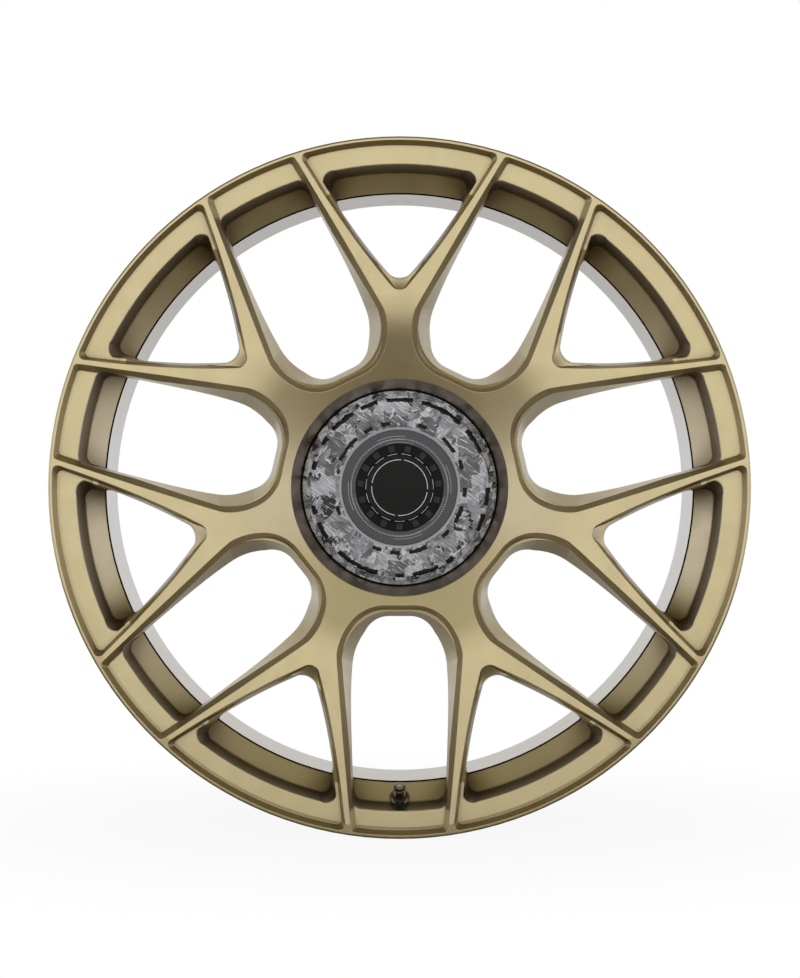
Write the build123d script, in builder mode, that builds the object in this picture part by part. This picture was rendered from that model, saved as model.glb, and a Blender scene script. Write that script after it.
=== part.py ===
from build123d import *
from math import cos, pi, radians, sin, tan
import os

os.makedirs("parts", exist_ok=True)

# The wheel's axis is Y, the street side looks towards -Y and +Z is up with the valve at the bottom.
# The origin is the centre of the rim, on the axis and halfway between its two lips.
# Profiles are written as (radius, depth), and depth is measured back from the street side lip.

# ---- rim, a 20 inch J contour
RIM_WIDTH = 254.6
BEAD_SEAT_R = 256.4
BEAD_SEAT_LENGTH = 17.0
FLANGE_HEIGHT = 17.5
FLANGE_R = BEAD_SEAT_R + FLANGE_HEIGHT
FLANGE_THICK = 13.0
HUMP_RISE = 0.9
FLANGE_ROOT_R = 6.5
LIP_RING_WIDTH = 2.9
LIP_STEP_DRAFT = 3.2
LIP_RING_R = FLANGE_R - LIP_RING_WIDTH
LIP_STEP_FOOT_R = LIP_RING_R - LIP_STEP_DRAFT
WELL_DROP = 17.0
WELL_WALL = 4.1
WELL_OUTER_R = BEAD_SEAT_R - WELL_DROP
WELL_INNER_R = WELL_OUTER_R - WELL_WALL
WELL_FRONT_DEPTH = 49.0
PANEL_WALL = 7.0
SEAM_DEPTH = 60.0
WELD_GROOVE = 3.0
WELD_ROOT = 1.2
WELD_CROWN = 0.8
VALVE_TILT = 27.0
PANEL_SLOPE = tan(radians(VALVE_TILT))
PANEL_DROP = 6.3
PANEL_OUTER_R = BEAD_SEAT_R - PANEL_DROP
PANEL_OUTER_DEPTH = WELL_FRONT_DEPTH - (PANEL_OUTER_R - WELL_INNER_R) * PANEL_SLOPE
POCKET_LEAN = 4.8
POCKET_BACK_R = PANEL_OUTER_R - 1.4
POCKET_FRONT_R = POCKET_BACK_R + POCKET_LEAN
REAR_DROP = 9.8
REAR_INNER_R = BEAD_SEAT_R - REAR_DROP
BARREL_WALL = 5.0
REAR_RAMP_START = 112.0
REAR_RAMP_END = 150.0
REAR_FLARE_DEPTH = 240.0

# ---- face
SPOKE_PAIRS = 7
OUTER_SLOPE = 5.0
INNER_SLOPE = 19.0
BLEND_INNER_R = 119.0
BLEND_OUTER_R = 151.0
LIP_GROOVE = 2.3
FACE_EDGE_R = LIP_STEP_FOOT_R - LIP_GROOVE
STEP_DEPTH = 6.5
RUN_OUT_START_R = 155.0
RUN_OUT_KNEE_R = 160.0
RUN_OUT_KNEE_DROP = 2.7
RUN_OUT_END_R = 170.0
RUN_OUT_END_DROP = 4.4
LARGE_CORNER_R = 3.5
SMALL_CORNER_R = 4.8
HUB_OFFSET = 30.0
HUB_PAD_R = 76.0
RECESS_R = 86.0
RECESS_FLOOR_R = 79.0
RECESS_TAPER_DEPTH = 45.5
RECESS_FLOOR_DEPTH = 66.0

# ---- hub hardware
WHEEL_BORE_R = 37.0
CAR_BORE_R = 33.3
RING_FIT = 0.05
RING_LENGTH = 14.0
BOLT_CIRCLE = 112.0
BOLT_COUNT = 5
LUG_ANGLES = [90.0 + i * 360.0 / BOLT_COUNT for i in range(BOLT_COUNT)]
LUG_HOLE_R = 7.5
LUG_INSERT_R = 12.5
LUG_SPIGOT_R = 10.5
INSERT_FIT = 0.05
LUG_TOP_DEPTH = 67.0
LUG_SHOULDER_DEPTH = 86.0
LUG_CONE_R = 11.8
LUG_CONE_HALF_ANGLE = 30.0

# ---- cap receiver in the hub recess
RECEIVER_IN_R = 70.2
RECEIVER_OUT_R = 72.6
RECEIVER_TOP_DEPTH = 47.4
RECEIVER_FOOT = 3.5
RECEIVER_SCREW_R = 75.8
RECEIVER_SCREW_SHANK_R = 1.5
RECEIVER_SCREW_HEAD_R = 2.7
RECEIVER_SCREW_ANGLES = [30.0, 90.0, 150.0, 210.0, 270.0, 330.0]
SCREW_FIT = 0.05

# ---- cap
CAP_R = 77.3
CAP_SHOULDER_R = 70.1
CAP_WINDOW_R = 46.2
CAP_FRONT_DEPTH = 40.0
CAP_BEVEL_DROP = 5.5
CAP_WALL = 3.0
CAP_SKIRT_WALL = 2.3
CAP_SKIRT_END = 56.0
CAP_BOSS_R = 3.2
CAP_SCREW_R = 60.0
CAP_SCREW_ANGLES = [i * 60.0 for i in range(6)]
CAP_SCREW_SHANK_R = 1.4
CAP_SCREW_HEAD_R = 2.6
CARRIER_DEPTH = 45.6
CARRIER_WALL = 2.6
CARRIER_SKIRT_R = 69.8
CARRIER_SKIRT_WALL = 3.2
CARRIER_SKIRT_END = 57.0
INDEX_DEPTH = 41.6
TOOTH_RING_R = 34.8
TOOTH_BASE_DEPTH = 44.2
TOOTH_COUNT = 15
TOOTH_MID_R = 31.2
TOOTH_RADIAL = 5.2
TOOTH_WIDTH = 5.0
TOOTH_HEIGHT = 1.8
BADGE_R = 27.5
BADGE_DEPTH = 42.4
BADGE_DOME = 0.8
BADGE_COLLAR_R = 23.6
SEAL_DEPTH = 51.2
SEAL_GROOVE = 2.6
SEAL_INSET = 1.2
SEAL_R = 78.6

# ---- the cap turns on three pins that climb cam slots, so it lifts as it is turned open
CAP_TURN = 60.0
CAP_LIFT = 6.0
CAM_OVERRUN = 14.0
PIN_DEPTH = 53.4
PIN_R = 1.9
PIN_SLOT_FIT = 0.2
PIN_TIP_R = 73.6
PIN_ANGLES = [20.0, 140.0, 260.0]

# ---- tyre valve
VALVE_DROP = 9.6
VALVE_SINK = 0.6
VALVE_SEAT_R = BEAD_SEAT_R - VALVE_DROP
VALVE_SEAT_DEPTH = PANEL_OUTER_DEPTH + (PANEL_OUTER_R - VALVE_SEAT_R) * PANEL_SLOPE + VALVE_SINK
VALVE_SPOT_R = 7.6
VALVE_HOLE_R = 5.75
VALVE_FOOT_SPOT_R = 9.4
VALVE_WALL = 4.5
VALVE_FOOT_R = 8.0
STEM_FOOT_BOTTOM = -9.6
GROMMET_THICK = 1.8
STEM_BORE_R = 1.5
STEM_SHANK_R = 4.9
STEM_STEP = 7.2
STEM_THREAD_R = 3.85
STEM_TOP = 20.5
CORE_BORE_R = 2.65
CORE_BORE_BOTTOM = 5.0
WASHER_R = 7.0
WASHER_THICK = 1.0
NUT_ACROSS_FLATS = 12.0
NUT_HEIGHT = 4.6
CORE_R = 2.6
CORE_BOTTOM = 10.0
CORE_TOP = 19.7
CORE_PIN_R = 0.75
PIN_BORE_R = 0.82
SPRING_BORE_R = 1.75
SPRING_BOTTOM = 12.0
SPRING_TOP = 16.6
SPRING_COIL_R = 1.3
SPRING_WIRE_R = 0.2
SPRING_TURNS = 7
PLUG_R = 1.9
PLUG_BOTTOM = 7.8
THREAD_FIT = 0.1
VALVE_CAP_R = 4.9
VALVE_CAP_TIP_R = 3.2
VALVE_CAP_BOTTOM = 8.8
VALVE_CAP_TOP = 26.6
CAP_SEAL_THICK = 0.9
CAP_SEAL_R = 3.2

PAD_DEPTH = RIM_WIDTH / 2 - HUB_OFFSET
PITCH = 360.0 / SPOKE_PAIRS


def at(r, depth):
    return (r, depth - RIM_WIDTH / 2)


def level(depth):
    return Plane.XZ.offset(RIM_WIDTH / 2 - depth)


def face_depth(r):
    """Depth of the spoke faces behind the lip at a radius: shallow cone, blend, steeper cone."""
    k = tan(radians(OUTER_SLOPE))
    if r >= BLEND_OUTER_R:
        return (FACE_EDGE_R - r) * k
    d = (FACE_EDGE_R - BLEND_OUTER_R) * k
    k2 = tan(radians(INNER_SLOPE))
    span = BLEND_OUTER_R - BLEND_INNER_R
    s = min(BLEND_OUTER_R - r, span)
    d += k * s + (k2 - k) * s * s / (2 * span)
    if r < BLEND_INNER_R:
        d += (BLEND_INNER_R - r) * k2
    return d


def spin(part, angle):
    return part.rotate(Axis.Y, angle)


HUB_EDGE_DEPTH = face_depth(RECESS_R)

# ---------------------------------------------------------------- forged face
with BuildPart() as forged_face:
    with BuildSketch(Plane.XY):
        with BuildLine():
            Polyline(
                at(HUB_PAD_R - 1.5, PAD_DEPTH),
                at(WHEEL_BORE_R + 1.5, PAD_DEPTH),
                at(WHEEL_BORE_R, PAD_DEPTH - 1.5),
                at(WHEEL_BORE_R, RECESS_FLOOR_DEPTH + 1.0),
                at(WHEEL_BORE_R + 1.0, RECESS_FLOOR_DEPTH),
                at(RECESS_FLOOR_R, RECESS_FLOOR_DEPTH),
                at(RECESS_FLOOR_R, RECESS_TAPER_DEPTH),
                at(RECESS_R, HUB_EDGE_DEPTH),
                at(BLEND_INNER_R, face_depth(BLEND_INNER_R)),
            )
            Bezier(
                at(BLEND_INNER_R, face_depth(BLEND_INNER_R)),
                at((BLEND_INNER_R + BLEND_OUTER_R) / 2, face_depth(BLEND_INNER_R)
                   - (BLEND_OUTER_R - BLEND_INNER_R) / 2 * tan(radians(INNER_SLOPE))),
                at(BLEND_OUTER_R, face_depth(BLEND_OUTER_R)),
            )
            Polyline(
                at(BLEND_OUTER_R, face_depth(BLEND_OUTER_R)),
                at(FACE_EDGE_R, 0),
                at(FLANGE_R - 1.2, 0),
                at(FLANGE_R, 1.2),
                at(FLANGE_R, 6.0),
            )
            CenterArc(at(FLANGE_R - 7.0, 6.0), 7.0, 0, 90)
            Line(at(FLANGE_R - 7.0, FLANGE_THICK), at(BEAD_SEAT_R + FLANGE_ROOT_R, FLANGE_THICK))
            CenterArc(at(BEAD_SEAT_R + FLANGE_ROOT_R, FLANGE_THICK + FLANGE_ROOT_R),
                      FLANGE_ROOT_R, 270, -90)
            Polyline(
                at(BEAD_SEAT_R, FLANGE_THICK + FLANGE_ROOT_R),
                at(BEAD_SEAT_R - 1.0, FLANGE_THICK + BEAD_SEAT_LENGTH),
                at(BEAD_SEAT_R - 1.0 + HUMP_RISE, FLANGE_THICK + BEAD_SEAT_LENGTH + 3.0),
                at(BEAD_SEAT_R - 0.4, PANEL_OUTER_DEPTH + PANEL_WALL - 1.5),
                at(WELL_OUTER_R, WELL_FRONT_DEPTH + PANEL_WALL),
                at(WELL_OUTER_R, SEAM_DEPTH - WELD_GROOVE),
                at(WELL_INNER_R + WELD_ROOT, SEAM_DEPTH),
                at(WELL_INNER_R, SEAM_DEPTH),
                at(WELL_INNER_R, WELL_FRONT_DEPTH + 6.0),
                at(WELL_INNER_R - 3.3, WELL_FRONT_DEPTH - 3.0),
                at(WELL_INNER_R - 13.3, 41.0),
            )
            Spline(at(WELL_INNER_R - 13.3, 41.0), at(180.0, 40.5), at(140.0, 50.0), at(104.0, 70.0),
                   at(HUB_PAD_R + 7.0, PAD_DEPTH - 6.0))
            Line(at(HUB_PAD_R + 7.0, PAD_DEPTH - 6.0), at(HUB_PAD_R - 1.5, PAD_DEPTH))
        make_face()
    revolve(axis=Axis.Y)


def above_floor():
    """The space in front of the recessed floor that runs one step below the spoke faces."""
    r0 = 70.0
    with BuildPart() as tool:
        with BuildSketch(Plane.XY):
            with BuildLine():
                Polyline(
                    at(BLEND_INNER_R, face_depth(BLEND_INNER_R) + STEP_DEPTH),
                    at(r0, face_depth(r0) + STEP_DEPTH),
                    at(r0, -20.0),
                    at(LIP_RING_R + 20.0 * (LIP_RING_R - LIP_STEP_FOOT_R) / STEP_DEPTH, -20.0),
                    at(LIP_STEP_FOOT_R, STEP_DEPTH),
                    at(FACE_EDGE_R, STEP_DEPTH),
                    at(BLEND_OUTER_R, face_depth(BLEND_OUTER_R) + STEP_DEPTH),
                )
                Bezier(
                    at(BLEND_OUTER_R, face_depth(BLEND_OUTER_R) + STEP_DEPTH),
                    at((BLEND_INNER_R + BLEND_OUTER_R) / 2, face_depth(BLEND_INNER_R) + STEP_DEPTH
                       - (BLEND_OUTER_R - BLEND_INNER_R) / 2 * tan(radians(INNER_SLOPE))),
                    at(BLEND_INNER_R, face_depth(BLEND_INNER_R) + STEP_DEPTH),
                )
            make_face()
        revolve(axis=Axis.Y)
    return tool.part


def above_run_out():
    """The space in front of the curved ramp where a milled step runs out onto the face near the hub."""
    with BuildPart() as tool:
        with BuildSketch(Plane.XY):
            with BuildLine():
                ThreePointArc(
                    at(RUN_OUT_START_R, face_depth(RUN_OUT_START_R)),
                    at(RUN_OUT_KNEE_R, face_depth(RUN_OUT_KNEE_R) + RUN_OUT_KNEE_DROP),
                    at(RUN_OUT_END_R, face_depth(RUN_OUT_END_R) + RUN_OUT_END_DROP),
                )
                Polyline(
                    at(RUN_OUT_END_R, face_depth(RUN_OUT_END_R) + RUN_OUT_END_DROP),
                    at(RUN_OUT_END_R + 20.0, face_depth(RUN_OUT_END_R + 20.0) + STEP_DEPTH + 1.5),
                    at(FLANGE_R + 20.0, STEP_DEPTH + 20.0),
                    at(FLANGE_R + 20.0, -20.0),
                    at(RUN_OUT_START_R, -20.0),
                    at(RUN_OUT_START_R, face_depth(RUN_OUT_START_R)),
                )
            make_face()
        revolve(axis=Axis.Y)
    return tool.part


def inside_rim():
    """The space inside the rim, bounded by the sloping panel and the well."""
    with BuildPart() as tool:
        with BuildSketch(Plane.XY):
            with BuildLine():
                Polyline(
                    at(30.0, -20.0),
                    at(PANEL_OUTER_R + 13.2, -20.0),
                    at(PANEL_OUTER_R + 13.2, PANEL_OUTER_DEPTH - 13.2 * PANEL_SLOPE),
                    at(WELL_INNER_R, WELL_FRONT_DEPTH),
                    at(WELL_INNER_R, 130.0),
                    at(30.0, 130.0),
                    close=True,
                )
            make_face()
        revolve(axis=Axis.Y)
    return tool.part


def u_half(hub_v, flat_u, r1, turn, r2, mid, end, rim_r=None, corner=0.0):
    """Half of a window between two spoke pairs: flat hub end, two arcs, then the arm edge."""
    t = radians(turn)
    h = t / 2
    m = (t + pi / 2) / 2
    p1 = (flat_u + r1 * sin(t), hub_v + r1 * (1 - cos(t)))
    p2 = (p1[0] + r2 * (1 - sin(t)), p1[1] + r2 * cos(t))
    with BuildLine() as half:
        Line((0, hub_v), (flat_u, hub_v))
        ThreePointArc((flat_u, hub_v), (flat_u + r1 * sin(h), hub_v + r1 * (1 - cos(h))), p1)
        ThreePointArc(p1, (p1[0] + r2 * (sin(m) - sin(t)), p1[1] + r2 * (cos(t) - cos(m))), p2)
        Line(p2, mid)
        Line(mid, end)
        rim_end(end, rim_r, corner)
    return half.line


def v_half(apex, start, side, shoulder, end, rim_r=None, corner=0.0):
    """Half of a window inside a spoke pair: apex, curved arm edge, end wall of the rim pocket."""
    with BuildLine() as half:
        ThreePointArc(apex, (start[0] * 0.56, apex[1] + (start[1] - apex[1]) * 0.27), start)
        ThreePointArc(start, side, shoulder)
        if end:
            Line(shoulder, end)
        rim_end(end or shoulder, rim_r, corner)
    return half.line


def rim_end(end, rim_r, corner):
    if rim_r is None:
        Line(end, (0, end[1]))
        return
    e = (end[0] - corner, (rim_r ** 2 - (end[0] - corner) ** 2) ** 0.5)
    rise = e[1] - end[1]
    ThreePointArc(end, (end[0] - corner * 0.293, end[1] + rise * 0.707), e)
    ThreePointArc(e, (e[0] / 2, (rim_r ** 2 - e[0] ** 2 / 4) ** 0.5), (0, rim_r))


def window_tool(front, back, back_depth, run_out=0.0):
    """Loft from the outline at the lip's depth to the one further back, both mirrored to full."""
    with BuildPart() as tool:
        for outline, depth in ((front, 0.0), (back, back_depth)):
            with BuildSketch(level(depth)):
                with BuildLine():
                    add(outline)
                    mirror(outline, about=Plane.YZ)
                make_face()
        loft(ruled=True)
        if run_out:
            with BuildSketch(level(back_depth)):
                with BuildLine():
                    add(back)
                    mirror(back, about=Plane.YZ)
                make_face()
            extrude(amount=-run_out)
    return tool.part


def step_corner(tool, radius):
    """Round the two corners where a step tool meets the lip."""
    edges = tool.edges().filter_by(lambda e: e.bounding_box().size.Y > 5.0 and e.center().Z > 225.0
                                   and e.length < 60.0)
    return tool.fillet(radius, edges)


FLOOR_SPACE = above_floor()
RIM_SPACE = inside_rim()

# Large window: the step below the face edge, and the drafted flank through to the back.
u_step = window_tool(
    u_half(75.5, 10.9, 44.1, 66.2, 71.6, (47.9, 199.5), (36.5, FLANGE_R + 2.1)),
    u_half(102.6, 10.9, 17.0, 66.2, 44.5, (20.8, 199.5), (9.4, FLANGE_R + 2.1)),
    40.0,
) & FLOOR_SPACE
u_through = window_tool(
    u_half(92.8, 7.1, 44.8, 49.5, 35.5, (39.6, 204.0), (37.4, FLANGE_R - 29.0),
           POCKET_FRONT_R, 8.0),
    u_half(103.1, 8.6, 20.9, 58.5, 55.2, (37.1, 204.0), (36.8, FLANGE_R - 37.0),
           POCKET_BACK_R, 7.0),
    60.0, 50.0,
) & RIM_SPACE

# Small window inside a spoke pair. Its step runs out onto the face at the root of the two arms.
v_step = window_tool(
    v_half((0, 147.3), (7.0, 150.5), (43.3, 202.4), (87.6, FLANGE_R + 2.1), None),
    v_half((0, 163.2), (4.4, 165.1), (38.0, 208.0), (78.0, FLANGE_R + 2.1), None),
    20.0,
) & FLOOR_SPACE & above_run_out()
v_through = window_tool(
    v_half((0, 162.0), (8.0, 164.5), (31.0, 190.1), (50.3, 222.0), (61.6, FLANGE_R - 33.9),
           POCKET_FRONT_R, 9.5),
    v_half((0, 169.3), (8.0, 172.0), (30.2, 200.6), (47.6, 223.3), (50.6, FLANGE_R - 37.9),
           POCKET_BACK_R, 7.0),
    60.0, 50.0,
) & RIM_SPACE

u_step = step_corner(u_step, LARGE_CORNER_R)
v_step = step_corner(v_step, SMALL_CORNER_R)

tools = []
for i in range(SPOKE_PAIRS):
    tools += [spin(u_step, (i + 0.5) * PITCH), spin(u_through, (i + 0.5) * PITCH)]
    tools += [spin(v_step, i * PITCH), spin(v_through, i * PITCH)]

# ---------------------------------------------------------------- helpers for round pieces
def turned(profile):
    """Solid of revolution about the wheel's axis from (radius, depth) points."""
    with BuildPart() as piece:
        with BuildSketch(Plane.XY):
            with BuildLine():
                Polyline(*[at(r, d) for r, d in profile], close=True)
            make_face()
        revolve(axis=Axis.Y)
    return piece.part


def polar(r, angle):
    return (r * cos(radians(angle)), r * sin(radians(angle)))


def drilled(points, r, from_depth, to_depth):
    """Cylinders parallel to the wheel's axis, between two depths."""
    with BuildPart() as piece:
        with BuildSketch(level(to_depth)):
            with Locations(*points):
                Circle(r)
        extrude(amount=to_depth - from_depth)
    return piece.part


VALVE = Plane(
    origin=(0, VALVE_SEAT_DEPTH - RIM_WIDTH / 2, -VALVE_SEAT_R),
    x_dir=(1, 0, 0),
    z_dir=(0, -cos(radians(VALVE_TILT)), sin(radians(VALVE_TILT))),
)
VALVE_PROFILE = Plane(origin=VALVE.origin, x_dir=VALVE.x_dir, z_dir=-VALVE.y_dir)
VALVE_AXIS = Axis(VALVE.origin, VALVE.z_dir)


def on_valve(profile):
    """Solid of revolution about the valve's axis from (radius, height above its seat) points."""
    with BuildPart() as piece:
        with BuildSketch(VALVE_PROFILE):
            with BuildLine():
                Polyline(*profile, close=True)
            make_face()
        revolve(axis=VALVE_AXIS)
    return piece.part


def save(piece, label):
    piece.label = label
    solids = piece.solids()
    print(f"{label}: {len(solids)} solids, {piece.volume / 1000:.2f} cm3, valid {piece.is_valid}")
    export_step(piece, f"parts/{label}.step")


lug_points = [polar(BOLT_CIRCLE / 2, a) for a in LUG_ANGLES]
receiver_screw_points = [polar(RECEIVER_SCREW_R, a) for a in RECEIVER_SCREW_ANGLES]

# ---------------------------------------------------------------- forged face, drilled
cuts = list(tools)
cuts.append(drilled(lug_points, LUG_INSERT_R, RECESS_FLOOR_DEPTH - 1.0, LUG_SHOULDER_DEPTH))
cuts.append(drilled(lug_points, LUG_SPIGOT_R, LUG_SHOULDER_DEPTH - 1.0, PAD_DEPTH + 1.0))
cuts.append(drilled(receiver_screw_points, RECEIVER_SCREW_SHANK_R + SCREW_FIT,
                    RECESS_FLOOR_DEPTH - 1.0, RECESS_FLOOR_DEPTH + 9.0))
cuts.append(on_valve([(0, 0), (VALVE_SPOT_R, 0), (VALVE_SPOT_R, 12), (VALVE_SPOT_R + 1, 40), (0, 40)]))
cuts.append(on_valve([(0, -20), (VALVE_HOLE_R, -20), (VALVE_HOLE_R, 1), (0, 1)]))
cuts.append(on_valve([(0, -30), (VALVE_FOOT_SPOT_R + 2, -30), (VALVE_FOOT_SPOT_R, -VALVE_WALL),
                      (0, -VALVE_WALL)]))
forged = forged_face.part - cuts
save(forged, "forged_face")

# ---------------------------------------------------------------- barrel and its weld
back = RIM_WIDTH
inner_face = back - FLANGE_THICK
with BuildPart() as inner_barrel:
    with BuildSketch(Plane.XY):
        with BuildLine():
            Polyline(
                at(WELL_INNER_R, SEAM_DEPTH),
                at(WELL_INNER_R + WELD_ROOT, SEAM_DEPTH),
                at(WELL_OUTER_R, SEAM_DEPTH + WELD_GROOVE),
                at(WELL_OUTER_R, REAR_RAMP_START - 2.0),
                at(REAR_INNER_R + BARREL_WALL, REAR_RAMP_END - 3.0),
                at(REAR_INNER_R + BARREL_WALL, inner_face - BEAD_SEAT_LENGTH - 7.0),
                at(BEAD_SEAT_R - 1.0 + HUMP_RISE, inner_face - BEAD_SEAT_LENGTH - 3.0),
                at(BEAD_SEAT_R - 1.0, inner_face - BEAD_SEAT_LENGTH),
                at(BEAD_SEAT_R, inner_face - FLANGE_ROOT_R),
            )
            CenterArc(at(BEAD_SEAT_R + FLANGE_ROOT_R, inner_face - FLANGE_ROOT_R),
                      FLANGE_ROOT_R, 180, -90)
            Line(at(BEAD_SEAT_R + FLANGE_ROOT_R, inner_face), at(FLANGE_R - 7.0, inner_face))
            CenterArc(at(FLANGE_R - 7.0, inner_face + 7.0), 7.0, 0, -90)
            Polyline(
                at(FLANGE_R, inner_face + 7.0),
                at(FLANGE_R, back - 1.2),
                at(FLANGE_R - 1.2, back),
                at(REAR_INNER_R + 15.0, back),
                at(REAR_INNER_R + 9.0, back - 3.0),
                at(REAR_INNER_R, REAR_FLARE_DEPTH),
                at(REAR_INNER_R, REAR_RAMP_END),
                at(WELL_INNER_R, REAR_RAMP_START),
                at(WELL_INNER_R, SEAM_DEPTH),
            )
        make_face()
    revolve(axis=Axis.Y)
save(inner_barrel.part, "inner_barrel")

save(turned([
    (WELL_INNER_R + WELD_ROOT, SEAM_DEPTH),
    (WELL_OUTER_R, SEAM_DEPTH - WELD_GROOVE),
    (WELL_OUTER_R + WELD_CROWN * 0.8, SEAM_DEPTH - WELD_GROOVE * 0.45),
    (WELL_OUTER_R + WELD_CROWN, SEAM_DEPTH),
    (WELL_OUTER_R + WELD_CROWN * 0.8, SEAM_DEPTH + WELD_GROOVE * 0.45),
    (WELL_OUTER_R, SEAM_DEPTH + WELD_GROOVE),
]), "barrel_weld_bead")

# ---------------------------------------------------------------- hub hardware
cone_length = (LUG_CONE_R - LUG_HOLE_R) / tan(radians(LUG_CONE_HALF_ANGLE))
with BuildPart() as insert:
    with BuildSketch(Plane.XZ):
        with BuildLine():
            Polyline(
                (LUG_CONE_R, PAD_DEPTH - LUG_TOP_DEPTH),
                (LUG_INSERT_R - INSERT_FIT, PAD_DEPTH - LUG_TOP_DEPTH),
                (LUG_INSERT_R - INSERT_FIT, PAD_DEPTH - LUG_SHOULDER_DEPTH),
                (LUG_SPIGOT_R - INSERT_FIT, PAD_DEPTH - LUG_SHOULDER_DEPTH),
                (LUG_SPIGOT_R - INSERT_FIT, 0),
                (LUG_HOLE_R, 0),
                (LUG_HOLE_R, PAD_DEPTH - LUG_TOP_DEPTH - cone_length),
                close=True,
            )
        make_face()
    revolve(axis=Axis.Z)
inserts = []
for x, z in lug_points:
    inserts.append(insert.part.rotate(Axis.X, 90).moved(Location((x, PAD_DEPTH - RIM_WIDTH / 2, z))))
save(Compound(children=inserts), "lug_seat_inserts")

save(turned([
    (CAR_BORE_R + 1.2, PAD_DEPTH),
    (WHEEL_BORE_R - RING_FIT - 1.6, PAD_DEPTH),
    (WHEEL_BORE_R - RING_FIT, PAD_DEPTH - 1.6),
    (WHEEL_BORE_R - RING_FIT, PAD_DEPTH - RING_LENGTH + 0.8),
    (WHEEL_BORE_R - RING_FIT - 0.8, PAD_DEPTH - RING_LENGTH),
    (CAR_BORE_R + 0.5, PAD_DEPTH - RING_LENGTH),
    (CAR_BORE_R, PAD_DEPTH - RING_LENGTH + 0.5),
    (CAR_BORE_R, PAD_DEPTH - 1.2),
]), "centring_ring")

# ---------------------------------------------------------------- cap receiver with cam slots
receiver = turned([
    (RECEIVER_IN_R, RECEIVER_TOP_DEPTH + 0.6),
    (RECEIVER_IN_R + 0.6, RECEIVER_TOP_DEPTH),
    (RECEIVER_OUT_R - 0.6, RECEIVER_TOP_DEPTH),
    (RECEIVER_OUT_R, RECEIVER_TOP_DEPTH + 0.6),
    (RECEIVER_OUT_R, RECESS_FLOOR_DEPTH - RECEIVER_FOOT),
    (RECESS_FLOOR_R - 0.3, RECESS_FLOOR_DEPTH - RECEIVER_FOOT),
    (RECESS_FLOOR_R - 0.3, RECESS_FLOOR_DEPTH),
    (RECEIVER_IN_R, RECESS_FLOOR_DEPTH),
])
pin_y = PIN_DEPTH - RIM_WIDTH / 2
slot_pitch = CAP_LIFT * 360.0 / CAP_TURN
slot_r = (RECEIVER_IN_R + RECEIVER_OUT_R) / 2
cam_end = CAP_TURN + CAM_OVERRUN
with BuildPart() as cam:
    with BuildLine():
        path = Helix(slot_pitch, slot_pitch * cam_end / 360.0, slot_r)
    with BuildSketch(Plane(origin=path @ 0, x_dir=(1, 0, 0), z_dir=path % 0)):
        Rectangle(12.0, 2 * (PIN_R + PIN_SLOT_FIT))
    sweep(is_frenet=True)
    with BuildSketch(Plane(origin=(slot_r - 6.0, 0, 0), x_dir=(0, 1, 0), z_dir=(1, 0, 0))):
        Circle(PIN_R + PIN_SLOT_FIT)
    extrude(amount=12.0)
cam_cuts = []
for angle in PIN_ANGLES:
    # The helix climbs along +Z; turned so that it climbs towards the street side.
    cam_cuts.append(
        cam.part.rotate(Axis.X, 90).rotate(Axis.Y, -angle).moved(Location((0, pin_y, 0)))
    )
receiver = receiver - cam_cuts
receiver = receiver - drilled(receiver_screw_points, RECEIVER_SCREW_SHANK_R + SCREW_FIT,
                              RECESS_FLOOR_DEPTH - RECEIVER_FOOT - 1.0, RECESS_FLOOR_DEPTH + 1.0)
save(receiver, "cap_receiver")

foot_top = RECESS_FLOOR_DEPTH - RECEIVER_FOOT
heads = drilled(receiver_screw_points, RECEIVER_SCREW_HEAD_R, foot_top - 2.4, foot_top)
shanks = drilled(receiver_screw_points, RECEIVER_SCREW_SHANK_R, foot_top - 0.5, foot_top + 11.0)
sockets = drilled(receiver_screw_points, 1.3, foot_top - 3.0, foot_top - 1.0)
save(heads + shanks - sockets, "cap_receiver_screws")

# ---------------------------------------------------------------- cap
skirt_in = CAP_R - CAP_SKIRT_WALL
cover = turned([
    (CAP_WINDOW_R, CAP_FRONT_DEPTH + 2.2),
    (CAP_WINDOW_R + 3.6, CAP_FRONT_DEPTH),
    (CAP_SHOULDER_R, CAP_FRONT_DEPTH),
    (CAP_R - 0.8, CAP_FRONT_DEPTH + CAP_BEVEL_DROP),
    (CAP_R, CAP_FRONT_DEPTH + CAP_BEVEL_DROP + 0.8),
    (CAP_R, SEAL_DEPTH - SEAL_GROOVE / 2),
    (CAP_R - SEAL_INSET, SEAL_DEPTH - SEAL_GROOVE / 2),
    (CAP_R - SEAL_INSET, SEAL_DEPTH + SEAL_GROOVE / 2),
    (CAP_R, SEAL_DEPTH + SEAL_GROOVE / 2),
    (CAP_R, CAP_SKIRT_END),
    (skirt_in, CAP_SKIRT_END),
    (skirt_in, CAP_FRONT_DEPTH + CAP_BEVEL_DROP + 1.6),
    (CAP_SHOULDER_R - 0.8, CAP_FRONT_DEPTH + CAP_WALL),
    (CAP_WINDOW_R + 5.5, CAP_FRONT_DEPTH + CAP_WALL),
    (CAP_WINDOW_R + 5.5, CARRIER_DEPTH),
    (CAP_WINDOW_R, CARRIER_DEPTH),
])
boss_points = [polar(CAP_SCREW_R, a) for a in CAP_SCREW_ANGLES]
cover = cover + drilled(boss_points, CAP_BOSS_R, CAP_FRONT_DEPTH + CAP_WALL - 0.5, CARRIER_DEPTH)
cover = cover - drilled(boss_points, CAP_SCREW_SHANK_R + SCREW_FIT, CAP_FRONT_DEPTH + 1.4, CARRIER_DEPTH + 1)
save(cover, "cap_cover")

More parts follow.
